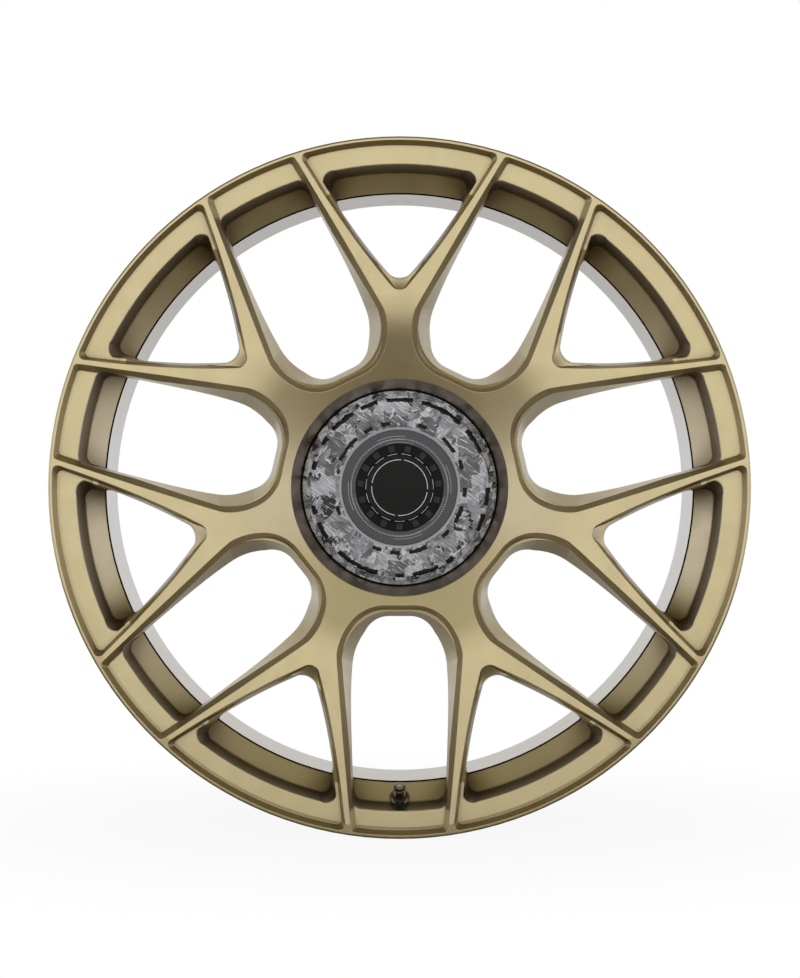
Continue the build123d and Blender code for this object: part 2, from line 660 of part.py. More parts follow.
carrier = turned([
    (BADGE_COLLAR_R + 0.2, CARRIER_DEPTH),
    (CARRIER_SKIRT_R, CARRIER_DEPTH),
    (CARRIER_SKIRT_R, CARRIER_SKIRT_END),
    (CARRIER_SKIRT_R - CARRIER_SKIRT_WALL, CARRIER_SKIRT_END),
    (CARRIER_SKIRT_R - CARRIER_SKIRT_WALL, CARRIER_DEPTH + CARRIER_WALL),
    (BADGE_COLLAR_R + 0.2, CARRIER_DEPTH + CARRIER_WALL),
])
carrier = carrier - drilled(boss_points, CAP_SCREW_SHANK_R + SCREW_FIT, CARRIER_DEPTH - 1,
                            CARRIER_DEPTH + CARRIER_WALL + 1)


def radial_pin(r, from_r, to_r, angle):
    with BuildPart() as pin:
        with BuildSketch(Plane.YZ.offset(from_r)):
            Circle(r)
        extrude(amount=to_r - from_r)
    return pin.part.rotate(Axis.Y, -angle).moved(Location((0, pin_y, 0)))


pin_holes = [radial_pin(PIN_R, CARRIER_SKIRT_R - 6.0, CARRIER_SKIRT_R + 2.0, a) for a in PIN_ANGLES]
save(carrier - pin_holes, "cap_carrier")
pins = [radial_pin(PIN_R, CARRIER_SKIRT_R - CARRIER_SKIRT_WALL, PIN_TIP_R, a) for a in PIN_ANGLES]
save(Compound(children=pins), "cap_bayonet_pins")

screw_top = CARRIER_DEPTH + CARRIER_WALL
cap_screws = drilled(boss_points, CAP_SCREW_SHANK_R, CAP_FRONT_DEPTH + 1.8, screw_top + 0.5)
cap_screws = cap_screws + drilled(boss_points, CAP_SCREW_HEAD_R, screw_top, screw_top + 2.0)
cap_screws = cap_screws - drilled(boss_points, 1.2, screw_top + 0.9, screw_top + 3.0)
save(cap_screws, "cap_screws")

save(turned([
    (CAP_R - SEAL_INSET + 0.05, SEAL_DEPTH - SEAL_GROOVE / 2 + 0.15),
    (SEAL_R - 0.8, SEAL_DEPTH - SEAL_GROOVE / 2 + 0.15),
    (SEAL_R, SEAL_DEPTH - 0.4),
    (SEAL_R, SEAL_DEPTH + 0.4),
    (SEAL_R - 0.8, SEAL_DEPTH + SEAL_GROOVE / 2 - 0.15),
    (CAP_R - SEAL_INSET + 0.05, SEAL_DEPTH + SEAL_GROOVE / 2 - 0.15),
]), "cap_seal_ring")

save(turned([
    (TOOTH_RING_R + 0.1, INDEX_DEPTH + 0.7),
    (TOOTH_RING_R + 0.8, INDEX_DEPTH),
    (CAP_WINDOW_R - 0.7, INDEX_DEPTH),
    (CAP_WINDOW_R - 0.1, INDEX_DEPTH + 0.6),
    (CAP_WINDOW_R - 0.1, CARRIER_DEPTH),
    (TOOTH_RING_R + 0.1, CARRIER_DEPTH),
]), "cap_index_ring")

tooth_ring = turned([
    (BADGE_R + 0.1, TOOTH_BASE_DEPTH),
    (TOOTH_RING_R, TOOTH_BASE_DEPTH),
    (TOOTH_RING_R, CARRIER_DEPTH),
    (BADGE_R + 0.1, CARRIER_DEPTH),
])
with BuildPart() as teeth:
    with BuildSketch(level(TOOTH_BASE_DEPTH + 0.3)):
        with PolarLocations(TOOTH_MID_R, TOOTH_COUNT, start_angle=-90):
            RectangleRounded(TOOTH_RADIAL, TOOTH_WIDTH, 0.9)
    extrude(amount=TOOTH_HEIGHT + 0.3)
save(tooth_ring + teeth.part, "cap_tooth_ring")

save(turned([
    (0, BADGE_DEPTH - BADGE_DOME),
    (BADGE_R * 0.5, BADGE_DEPTH - BADGE_DOME * 0.8),
    (BADGE_R - 1.2, BADGE_DEPTH),
    (BADGE_R, BADGE_DEPTH + 0.9),
    (BADGE_R, CARRIER_DEPTH),
    (BADGE_COLLAR_R, CARRIER_DEPTH),
    (BADGE_COLLAR_R, screw_top),
    (BADGE_COLLAR_R + 0.9, screw_top + 0.8),
    (BADGE_COLLAR_R - 0.6, screw_top + 2.4),
    (BADGE_COLLAR_R - 2.4, screw_top + 2.4),
    (BADGE_COLLAR_R - 2.4, CARRIER_DEPTH + 1.0),
    (0, CARRIER_DEPTH + 1.0),
]), "cap_badge")

# ---------------------------------------------------------------- valve
save(on_valve([
    (STEM_BORE_R, STEM_FOOT_BOTTOM),
    (VALVE_FOOT_R - 1.5, STEM_FOOT_BOTTOM),
    (VALVE_FOOT_R, STEM_FOOT_BOTTOM + 1.5),
    (VALVE_FOOT_R, -VALVE_WALL - GROMMET_THICK),
    (STEM_SHANK_R, -VALVE_WALL - GROMMET_THICK),
    (STEM_SHANK_R, STEM_STEP),
    (STEM_THREAD_R, STEM_STEP + 1.0),
    (STEM_THREAD_R, STEM_TOP - 0.6),
    (STEM_THREAD_R - 0.6, STEM_TOP),
    (CORE_BORE_R, STEM_TOP),
    (CORE_BORE_R, CORE_BORE_BOTTOM),
    (STEM_BORE_R, CORE_BORE_BOTTOM - 1.0),
]), "valve_stem")
save(on_valve([
    (STEM_SHANK_R + 0.05, -VALVE_WALL - GROMMET_THICK),
    (VALVE_FOOT_R - 0.4, -VALVE_WALL - GROMMET_THICK),
    (VALVE_FOOT_R - 0.4, -VALVE_WALL),
    (VALVE_HOLE_R - 0.05, -VALVE_WALL),
    (VALVE_HOLE_R - 0.05, -0.6),
    (STEM_SHANK_R + 0.05, -0.6),
]), "valve_grommet")
save(on_valve([
    (STEM_SHANK_R + 0.1, 0),
    (WASHER_R - 0.2, 0),
    (WASHER_R, 0.2),
    (WASHER_R, WASHER_THICK),
    (STEM_SHANK_R + 0.1, WASHER_THICK),
]), "valve_washer")
with BuildPart() as nut:
    with BuildSketch(VALVE.offset(WASHER_THICK)):
        RegularPolygon(NUT_ACROSS_FLATS / 2, 6, major_radius=False)
        Circle(STEM_SHANK_R + 0.05, mode=Mode.SUBTRACT)
    extrude(amount=NUT_HEIGHT)
nut_corner = NUT_ACROSS_FLATS / 2 / cos(pi / 6)
nut_top = WASHER_THICK + NUT_HEIGHT
nut_shape = nut.part & on_valve([
    (0, WASHER_THICK - 1), (nut_corner + 0.2, WASHER_THICK - 1), (nut_corner + 0.2, nut_top - 0.9),
    (nut_corner - 1.0, nut_top), (0, nut_top),
])
save(nut_shape, "valve_nut")
save(on_valve([
    (PIN_BORE_R, CORE_BOTTOM),
    (CORE_R - 0.7, CORE_BOTTOM),
    (CORE_R, CORE_BOTTOM + 1.2),
    (CORE_R, CORE_TOP),
    (PIN_BORE_R, CORE_TOP),
    (PIN_BORE_R, SPRING_TOP + 0.7),
    (SPRING_BORE_R, SPRING_TOP + 0.7),
    (SPRING_BORE_R, SPRING_BOTTOM),
    (PIN_BORE_R, SPRING_BOTTOM),
]), "valve_core_body")
save(on_valve([
    (0, PLUG_BOTTOM),
    (PLUG_R, PLUG_BOTTOM),
    (PLUG_R, PLUG_BOTTOM + 1.2),
    (CORE_PIN_R, PLUG_BOTTOM + 1.2),
    (CORE_PIN_R, SPRING_TOP + 0.05),
    (SPRING_COIL_R + 0.25, SPRING_TOP + 0.05),
    (SPRING_COIL_R + 0.25, SPRING_TOP + 0.65),
    (CORE_PIN_R, SPRING_TOP + 0.65),
    (CORE_PIN_R, STEM_TOP - 0.2),
    (0, STEM_TOP - 0.2),
]), "valve_core_pin")
save(on_valve([
    (CORE_PIN_R + 0.02, PLUG_BOTTOM + 1.2),
    (PLUG_R, PLUG_BOTTOM + 1.2),
    (PLUG_R - 0.2, CORE_BOTTOM - 0.02),
    (CORE_PIN_R + 0.02, CORE_BOTTOM - 0.02),
]), "valve_core_seal")
with BuildPart() as spring:
    with BuildLine():
        coil = Helix((SPRING_TOP - SPRING_BOTTOM - 2.6 * SPRING_WIRE_R) / SPRING_TURNS,
                     SPRING_TOP - SPRING_BOTTOM - 2.6 * SPRING_WIRE_R, SPRING_COIL_R)
    with BuildSketch(Plane(origin=coil @ 0, z_dir=coil % 0)):
        Circle(SPRING_WIRE_R)
    sweep(is_frenet=True)
spring_part = VALVE.from_local_coords(spring.part.moved(Location((0, 0, SPRING_BOTTOM + 1.3 * SPRING_WIRE_R))))
save(spring_part, "valve_core_spring")
cap_inner_top = STEM_TOP + CAP_SEAL_THICK
save(on_valve([
    (STEM_THREAD_R + THREAD_FIT, VALVE_CAP_BOTTOM),
    (VALVE_CAP_R - 0.4, VALVE_CAP_BOTTOM),
    (VALVE_CAP_R, VALVE_CAP_BOTTOM + 0.4),
    (VALVE_CAP_R, cap_inner_top + 0.4),
    (VALVE_CAP_TIP_R + 0.5, cap_inner_top + 1.6),
    (VALVE_CAP_TIP_R + 0.1, VALVE_CAP_TOP - 0.6),
    (VALVE_CAP_TIP_R - 0.3, VALVE_CAP_TOP),
    (1.8, VALVE_CAP_TOP),
    (1.6, VALVE_CAP_TOP - 1.2),
    (0, VALVE_CAP_TOP - 1.5),
    (0, cap_inner_top + 0.1),
    (CAP_SEAL_R + 0.1, cap_inner_top + 0.1),
    (CAP_SEAL_R + 0.1, STEM_TOP + 0.15),
    (STEM_THREAD_R + THREAD_FIT, STEM_TOP + 0.15),
]), "valve_cap")
save(on_valve([
    (CORE_BORE_R - 0.6, STEM_TOP + 0.05),
    (CAP_SEAL_R, STEM_TOP + 0.05),
    (CAP_SEAL_R, cap_inner_top),
    (CORE_BORE_R - 0.6, cap_inner_top),
]), "valve_cap_seal")
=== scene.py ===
from math import pi, radians, tan

import bmesh
import bpy
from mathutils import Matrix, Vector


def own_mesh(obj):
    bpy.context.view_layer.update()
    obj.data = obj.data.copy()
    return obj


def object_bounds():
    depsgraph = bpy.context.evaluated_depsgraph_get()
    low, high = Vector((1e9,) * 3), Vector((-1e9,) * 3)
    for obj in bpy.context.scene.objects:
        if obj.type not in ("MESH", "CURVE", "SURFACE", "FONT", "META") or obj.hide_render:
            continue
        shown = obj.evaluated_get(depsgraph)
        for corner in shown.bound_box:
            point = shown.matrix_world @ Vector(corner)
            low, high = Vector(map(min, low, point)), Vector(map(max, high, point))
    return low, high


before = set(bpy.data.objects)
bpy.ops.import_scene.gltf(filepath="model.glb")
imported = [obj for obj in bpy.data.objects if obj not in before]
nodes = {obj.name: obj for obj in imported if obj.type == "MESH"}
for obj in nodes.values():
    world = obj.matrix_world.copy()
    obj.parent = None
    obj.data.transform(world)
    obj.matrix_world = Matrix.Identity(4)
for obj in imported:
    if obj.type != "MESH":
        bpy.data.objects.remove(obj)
cad_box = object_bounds()
low = cad_box[0]
scene = bpy.context.scene

MM = 0.001
# places on the wheel, whose axis is y: depths are counted from the lip on the street side
LIP = low.y
CAP_RECESS_R = 85.6 * MM
TOOTH_TOPS = LIP + 43.4 * MM
ARM_MIDDLE_R = 205.0 * MM
ARM_HALF_LENGTH = 31.0 * MM
LEDGE_DEPTH = 5.4 * MM
RIM_START_R = 240.0 * MM
POCKET_ROUNDS = (LIP + 5.5 * MM, LIP + 9 * MM)
POCKET_WALLS = (LIP + 6.5 * MM, LIP + 10 * MM)
FACE_RIM_R = 265.5 * MM
FACE_SLOPE = tan(radians(5.0))
# the seam with the barrel: where the shadow painted over its gap starts, and the radii that it lies
# between
SEAM_SHADE_START = LIP + 49.2 * MM
SEAM_SHADE_RADII = (231.3 * MM, 235.9 * MM)


# ---------------------------------------------------------------- nodes and colours
def lin(code):
    """An sRGB hex colour as linear light."""
    parts = [int(code[i:i + 2], 16) / 255 for i in (0, 2, 4)]
    return (*[c / 12.92 if c <= 0.04045 else ((c + 0.055) / 1.055) ** 2.4 for c in parts], 1.0)


def node(tree, kind, inputs=None, **settings):
    """Adds a node. Inputs go by socket name or number: a value, a socket, or a node's first output."""
    made = tree.nodes.new("ShaderNode" + kind)
    for key, value in settings.items():
        setattr(made, key, value)
    for key, value in (inputs or {}).items():
        if isinstance(value, bpy.types.Node):
            value = next(out for out in value.outputs if out.enabled)
        if isinstance(value, bpy.types.NodeSocket):
            tree.links.new(value, made.inputs[key])
        else:
            made.inputs[key].default_value = value
    return made


def start(name):
    """An empty material, its node tree and the place of each point on the wheel in metres."""
    mat = bpy.data.materials.new(name)
    mat.use_nodes = True
    mat.node_tree.nodes.clear()
    return mat, mat.node_tree, node(mat.node_tree, "TexCoord").outputs["Object"]


def round_the_axis(tree, place):
    """Radius from the wheel's axis and depth along it, both in metres, and the angle in turns."""
    x, y, z = node(tree, "SeparateXYZ", {0: place}).outputs
    radius = node(tree, "VectorMath", {0: node(tree, "CombineXYZ", {0: x, 2: z})}, operation="LENGTH")
    angle = node(tree, "Math", {0: z, 1: x}, operation="ARCTAN2")
    return radius, y, node(tree, "Math", {0: angle, 1: 2 * pi}, operation="DIVIDE")


def where_all(tree, first, *others):
    """The part of the surface where every one of these masks holds."""
    for mask in others:
        first = node(tree, "Math", {0: first, 1: mask}, operation="MULTIPLY")
    return first


def speckle(tree, place, grain, dark, light):
    """A fine even grain, its size in mm, and the body colour that it stirs between two shades."""
    speck = node(tree, "TexNoise", {"Vector": place, "Scale": 1 / (grain * MM), "Detail": 3.0})
    return speck, node(tree, "Mix", {0: speck, 6: lin(dark), 7: lin(light)}, data_type="RGBA")


def relief(tree, height, depth, strength, edge, samples=4):
    """The surface's slope, from edges rounded to a radius and a shallow texture, both in mm."""
    rounded = node(tree, "Bevel", {"Radius": edge * MM}, samples=samples)
    return node(tree, "Bump", {"Height": height, "Distance": depth * MM, "Strength": strength,
                               "Normal": rounded})


def fill_ramp(ramp, stops, interpolation="LINEAR"):
    """Sets a ramp's colours from (place, sRGB hex) or (place, light level) pairs."""
    ramp.interpolation = interpolation
    while len(ramp.elements) < len(stops):
        ramp.elements.new(0.5)
    for element, (at, colour) in zip(ramp.elements, stops):
        element.position = at
        element.color = lin(colour) if isinstance(colour, str) else (*colour, 1.0)


def close(mat, tree, inputs):
    """Ends a material in one shader."""
    node(tree, "OutputMaterial", {"Surface": node(tree, "BsdfPrincipled", inputs)})
    return mat


# ---------------------------------------------------------------- finishes
FLAKE = 0.3 * MM
ORANGE_PEEL = 1.6 * MM
SPRAY_CLOUD = 14 * MM
CRISP_EDGE = 0.7 * MM
FORGED_EDGE = 2.4 * MM
CORNER_REACH = 32 * MM


def satin_gold_lacquer():
    """Sprayed gold powder paint under satin lacquer: a warm soft sheen, fine flake, rounded edges, and
    shade painted into its hollows.
    """
    mat, tree, place = start("satin_gold_lacquer")
    radius, along, _ = round_the_axis(tree, place)
    flake = node(tree, "TexVoronoi", {"Vector": place, "Scale": 1 / FLAKE})
    grey = node(tree, "RGBToBW", {0: flake.outputs["Color"]})
    tint = node(tree, "Mix", {0: grey, 6: lin("c4b58c"), 7: lin("d0c39c")}, data_type="RGBA")
    peel = node(tree, "TexNoise", {"Vector": place, "Scale": 1 / ORANGE_PEEL, "Detail": 2.0})
    cloud = node(tree, "TexNoise", {"Vector": place, "Scale": 1 / SPRAY_CLOUD, "Detail": 3.0})
    rough = node(tree, "MapRange", {0: cloud, 1: 0.3, 2: 0.7, 3: 0.34, 4: 0.39})

    # the turned faces have crisp edges, and the forged pockets of the rim have larger rounds
    rounds = node(tree, "MapRange", {0: along, 1: POCKET_ROUNDS[0], 2: POCKET_ROUNDS[1],
                                     3: CRISP_EDGE, 4: FORGED_EDGE})
    on_rim = node(tree, "Math", {0: radius, 1: RIM_START_R}, operation="GREATER_THAN")
    edge = node(tree, "Mix", {0: on_rim, 2: CRISP_EDGE, 3: rounds})
    rounded = node(tree, "Bevel", {"Radius": edge}, samples=8)

    # shade is painted darker into the corners, as far as the ambient occlusion reaches
    open_sky = node(tree, "AmbientOcclusion", {"Distance": CORNER_REACH}, samples=8, only_local=True)
    unshaded = node(tree, "MapRange", {0: open_sky.outputs["AO"], 1: 0.35, 2: 0.86},
               interpolation_type="SMOOTHSTEP")
    coat_and_shade = node(tree, "Mix", {0: unshaded, 6: lin("6a5838"), 7: tint}, data_type="RGBA")

    # shade is painted darker on the steep walls inside the rim's pockets: not on the bead seat, which is
    # as steep but faces away from the axis
    slope = node(tree, "SeparateXYZ", {0: rounded})
    to_front = node(tree, "Math", {0: slope.outputs[1]}, operation="ABSOLUTE")
    steep = node(tree, "MapRange", {0: to_front, 1: 0.15, 2: 0.5, 3: 1.0, 4: 0.0},
                 interpolation_type="SMOOTHSTEP")
    in_pocket = node(tree, "MapRange", {0: along, 1: POCKET_WALLS[0], 2: POCKET_WALLS[1]})
    outward = node(tree, "VectorMath", {0: rounded, 1: place}, operation="DOT_PRODUCT")
    inside = node(tree, "Math", {0: outward, 1: 0.1}, operation="LESS_THAN")
    pocket_wall_shade = where_all(tree, in_pocket, on_rim, inside, steep)
    coat_and_shade = node(tree, "Mix", {0: pocket_wall_shade, 6: coat_and_shade, 7: lin("5e4f34")}, data_type="RGBA")

    # shade is painted darker on the narrow milled strip beside the small windows, deep below the coned
    # face
    face = node(tree, "Math", {0: radius, 1: -FACE_SLOPE, 2: LIP + FACE_RIM_R * FACE_SLOPE},
                operation="MULTIPLY_ADD")
    below_face = node(tree, "Math", {0: along, 1: face}, operation="SUBTRACT")
    ledge_shade = where_all(
        tree,
        node(tree, "Math", {0: below_face, 1: LEDGE_DEPTH}, operation="GREATER_THAN"),
        node(tree, "Math", {0: to_front, 1: 0.9}, operation="GREATER_THAN"),
        node(tree, "Math", {0: radius, 1: ARM_MIDDLE_R, 2: ARM_HALF_LENGTH}, operation="COMPARE"),
    )
    coat_and_shade = node(tree, "Mix", {0: ledge_shade, 6: coat_and_shade, 7: lin("75643e")}, data_type="RGBA")

    # the cap's recess is grey instead of gold, and the grey is darkened to paint in the shade on its steep
    # side
    recess_grey_and_shade = node(tree, "Math", {0: radius, 1: CAP_RECESS_R}, operation="LESS_THAN")
    coat_and_shade = node(tree, "Mix", {0: recess_grey_and_shade, 6: coat_and_shade, 7: lin("a89c8c")}, data_type="RGBA")

    # a line of matt black is painted over the seam in front of the weld, for the shadow in its gap
    seam_shade = where_all(
        tree,
        node(tree, "Math", {0: radius, 1: SEAM_SHADE_RADII[1]}, operation="LESS_THAN"),
        node(tree, "Math", {0: along, 1: SEAM_SHADE_START}, operation="GREATER_THAN"),
        node(tree, "Math", {0: radius, 1: SEAM_SHADE_RADII[0]}, operation="GREATER_THAN"),
    )
    colour = node(tree, "Mix", {0: seam_shade, 6: coat_and_shade, 7: lin("14110c")}, data_type="RGBA")
    painted = node(tree, "Math", {0: 1.0, 1: seam_shade}, operation="SUBTRACT")
    return close(mat, tree, {
        "Base Color": colour,
        "Metallic": node(tree, "Math", {0: painted, 1: 0.92}, operation="MULTIPLY"),
        "Roughness": rough,
        "Specular IOR Level": node(tree, "Math", {0: painted, 1: 0.5}, operation="MULTIPLY"),
        "Coat Weight": node(tree, "Math", {0: painted, 1: 0.3}, operation="MULTIPLY"),
        "Coat Roughness": 0.3,
        "Normal": node(tree, "Bump", {"Height": peel, "Distance": 0.02 * MM, "Strength": 0.4,
                                      "Normal": rounded}),
    })


# coarser than the real feed of the tool, so that the rings show
RING_PITCH = 1.2 * MM


def turned_aluminium():
    """Lathe-turned aluminium under clear lacquer: pale and neutral, with fine rings left by the tool."""
    mat, tree, place = start("turned_aluminium")
    _, along, _ = round_the_axis(tree, place)
    phase = node(tree, "Math", {0: along, 1: 2 * pi / RING_PITCH}, operation="MULTIPLY")
    ring = node(tree, "Math", {0: phase}, operation="SINE")
    _, tint = speckle(tree, place, 25, "d2cfcb", "dfdcd9")
    return close(mat, tree, {"Base Color": tint, "Metallic": 0.9, "Roughness": 0.36,
                             "Normal": relief(tree, ring, 0.004, 0.6, 0.8, samples=6)})


def bare_metal(name, dark, light, roughness, grain):
    """Turned or plated small hardware: a tight highlight over a fine even grain."""
    mat, tree, place = start(name)
    speck, tint = speckle(tree, place, grain, dark, light)
    rough = node(tree, "MapRange", {0: speck, 1: 0.3, 2: 0.7, 3: roughness - 0.04, 4: roughness + 0.05})
    return close(mat, tree, {"Base Color": tint, "Metallic": 1.0, "Roughness": rough,
                             "Normal": relief(tree, speck, 0.01, 0.4, 0.2)})


def moulded(name, dark, light, roughness, grain, depth):
    """Moulded plastic or rubber: a dull body colour with the fine grain of its tool."""
    mat, tree, place = start(name)
    speck, tint = speckle(tree, place, grain, dark, light)
    rough = node(tree, "MapRange", {0: speck, 1: 0.3, 2: 0.7, 3: roughness - 0.04, 4: roughness + 0.05})
    return close(mat, tree, {"Base Color": tint, "Roughness": rough,
                             "Normal": relief(tree, speck, depth, 0.5, 0.25)})


SPLINTER_GREYS = [(0.0, "3c3d3f"), (0.22, "7b7c7f"), (0.38, "aeb0b4"), (0.54, "d2d4d9"), (0.68, "909296"),
                  (0.80, "e6e8ee")]
SHARD = 15 * MM
CHIP = 5 * MM
TORN_PATCH = 12 * MM
TEAR = 3 * MM
TEAR_GRAIN = 5 * MM
CAP_BEVEL_R = 71.0 * MM
PALE_RING_R = 47.2 * MM
PALE_RING_HALF = 0.9 * MM
BLOCK_WOBBLE = 4 * MM
# torn fibres, in mm: how far they lean in radians, their length and their width
FIBRES = [(0.6, 9.0, 1.3), (-0.9, 6.0, 1.0)]
# rows of black blocks, in mm: the row's radius, how many fit round it, the share drawn and half its width
BLOCK_ROWS = [(70.0, 62, 0.55, 1.7), (51.8, 44, 0.5, 1.6)]


def camouflage_print():
    """Grey splinter print under satin lacquer on a moulded shell: torn shards and black blocks."""
    mat, tree, place = start("camouflage_print")
    radius, _, turns = round_the_axis(tree, place)
    warp = node(tree, "TexNoise", {"Vector": place, "Scale": 1 / TEAR_GRAIN, "Detail": 3.0,
                                   "Roughness": 0.65})
    shift = node(tree, "VectorMath", {0: warp.outputs["Color"], 1: (0.5, 0.5, 0.5)}, operation="SUBTRACT")
    torn = node(tree, "VectorMath", {0: shift, 1: (TEAR, TEAR, TEAR), 2: place}, operation="MULTIPLY_ADD")

    # two grids of straight-sided cells make the shards, the finer one in torn patches and on the bevel
    shard = node(tree, "TexVoronoi", {"Vector": torn, "Scale": 1 / SHARD}, distance="CHEBYCHEV")
    chip = node(tree, "TexVoronoi", {"Vector": torn, "Scale": 1 / CHIP}, distance="MANHATTAN")
    large = node(tree, "RGBToBW", {0: shard.outputs["Color"]})
    small = node(tree, "RGBToBW", {0: chip.outputs["Color"]})
    patch = node(tree, "TexNoise", {"Vector": place, "Scale": 1 / TORN_PATCH, "Detail": 2.0})
    broken = node(tree, "Math", {0: patch, 1: 0.53}, operation="GREATER_THAN")
    on_bevel = node(tree, "Math", {0: radius, 1: CAP_BEVEL_R}, operation="GREATER_THAN")
    fine = node(tree, "Math", {0: broken, 1: on_bevel}, operation="MAXIMUM")
    greys = node(tree, "ValToRGB", {0: node(tree, "Mix", {0: fine, 2: large, 3: small})})
    fill_ramp(greys.color_ramp, SPLINTER_GREYS, "CONSTANT")

    # frayed fibres leave pale and dark slashes, one way in the shards and another in the chips
    slashes = []
    for lean, length, width in FIBRES:
        turned = node(tree, "Mapping", {0: place, 2: (0, lean, 0)}, vector_type="TEXTURE")
        across = 1 / (width * MM)
        drawn_out = node(tree, "Mapping", {0: turned, 3: (1 / (length * MM), across, across)})
        slashes.append(node(tree, "TexNoise", {"Vector": drawn_out, "Scale": 1.0, "Detail": 3.0}))
    fibre = node(tree, "Mix", {0: fine, 2: slashes[0], 3: slashes[1]})
    worn = node(tree, "MapRange", {0: fibre, 1: 0.32, 2: 0.68, 3: 0.6, 4: 1.3})
    print_grey = node(tree, "VectorMath", {0: greys, "Scale": worn}, operation="SCALE")
    frayed = node(tree, "MapRange", {0: fibre, 1: 0.60, 2: 0.64, 4: 0.85})
    print_grey = node(tree, "Mix", {0: frayed, 6: print_grey, 7: lin("f0f1f4")}, data_type="RGBA")

    # the blocks wobble about their circle and drop out at random round the cap
    bent = node(tree, "Math", {0: warp, 1: BLOCK_WOBBLE, 2: -BLOCK_WOBBLE / 2}, operation="MULTIPLY_ADD")
    bent = node(tree, "Math", {0: radius, 1: bent}, operation="ADD")
    dashes = 0.0
    for row, blocks, share, half in BLOCK_ROWS:
        block = node(tree, "Math", {0: turns, 1: blocks}, operation="MULTIPLY")
        block = node(tree, "Math", {0: block}, operation="FLOOR")
        block = node(tree, "Math", {0: block, 1: row * MM}, operation="ADD")
        chance = node(tree, "TexWhiteNoise", {"W": block}, noise_dimensions="1D")
        drawn = node(tree, "Math", {0: chance, 1: share}, operation="LESS_THAN")
        close_by = node(tree, "Math", {0: bent, 1: row * MM, 2: half * MM}, operation="COMPARE")
        row_drawn = where_all(tree, drawn, close_by)
        dashes = node(tree, "Math", {0: row_drawn, 1: dashes}, operation="MAXIMUM")
    inked = node(tree, "Mix", {0: dashes, 6: print_grey, 7: lin("060606")}, data_type="RGBA")
    ring = node(tree, "Math", {0: radius, 1: PALE_RING_R, 2: PALE_RING_HALF}, operation="COMPARE")
    ringed = node(tree, "Mix", {0: ring, 6: inked, 7: lin("c9cacd")}, data_type="RGBA")
    return close(mat, tree, {"Base Color": ringed, "Roughness": 0.5, "Specular IOR Level": 0.3,
                             "Normal": node(tree, "Bevel", {"Radius": 0.4 * MM}, samples=4)})


# printed lines, in mm: radius, half width, how many round, the share of each that is drawn, and its turn
INDEX_MARKS = [
    (40.9, 0.2, 4, 0.36, 0.07),
    (38.6, 0.2, 4, 0.36, 0.07),
    (38.6, 0.55, 120, 0.45, 0.0),
    (36.2, 0.14, 3, 0.3, 0.4),
]
BADGE_MARKS = [
    (22.2, 0.3, 4, 0.93, 0.035),
    (26.9, 0.2, 15, 0.72, 0.1),
]


def marked(name, dark, light, marks, ink):
    """Satin moulded plastic printed with thin round lines: a soft wide gloss and crisp light marks."""
    mat, tree, place = start(name)
    radius, _, turns = round_the_axis(tree, place)
    speck, colour = speckle(tree, place, 0.8, dark, light)
    for ring, half, times, share, turned in marks:
        part = node(tree, "Math", {0: turns, 1: times, 2: turned}, operation="MULTIPLY_ADD")
        part = node(tree, "Math", {0: part}, operation="FRACT")
        drawn = where_all(
            tree,
            node(tree, "Math", {0: radius, 1: ring * MM, 2: half * MM}, operation="COMPARE"),
            node(tree, "Math", {0: part, 1: share}, operation="LESS_THAN"),
        )
        colour = node(tree, "Mix", {0: drawn, 6: colour, 7: lin(ink)}, data_type="RGBA")
    return close(mat, tree, {"Base Color": colour, "Roughness": 0.5, "Specular IOR Level": 0.25,
                             "Normal": relief(tree, speck, 0.004, 0.5, 0.25)})


def two_shot_plastic(name, low_colour, top_colour, split):
    """Two-shot moulding: black in the gaps, dark grey on the tops of the teeth in front of a depth."""
    mat, tree, place = start(name)
    _, along, _ = round_the_axis(tree, place)
    speck = node(tree, "TexNoise", {"Vector": place, "Scale": 1 / (0.8 * MM), "Detail": 3.0})
    top = node(tree, "Math", {0: along, 1: split}, operation="LESS_THAN")
    colour = node(tree, "Mix", {0: top, 6: lin(low_colour), 7: lin(top_colour)}, data_type="RGBA")
    return close(mat, tree, {"Base Color": colour, "Roughness": 0.5, "Specular IOR Level": 0.2,
                             "Normal": relief(tree, speck, 0.01, 0.5, 0.3)})


steel = bare_metal("zinc_plated_steel", "8f8f8c", "b3b3b0", 0.33, 0.5)
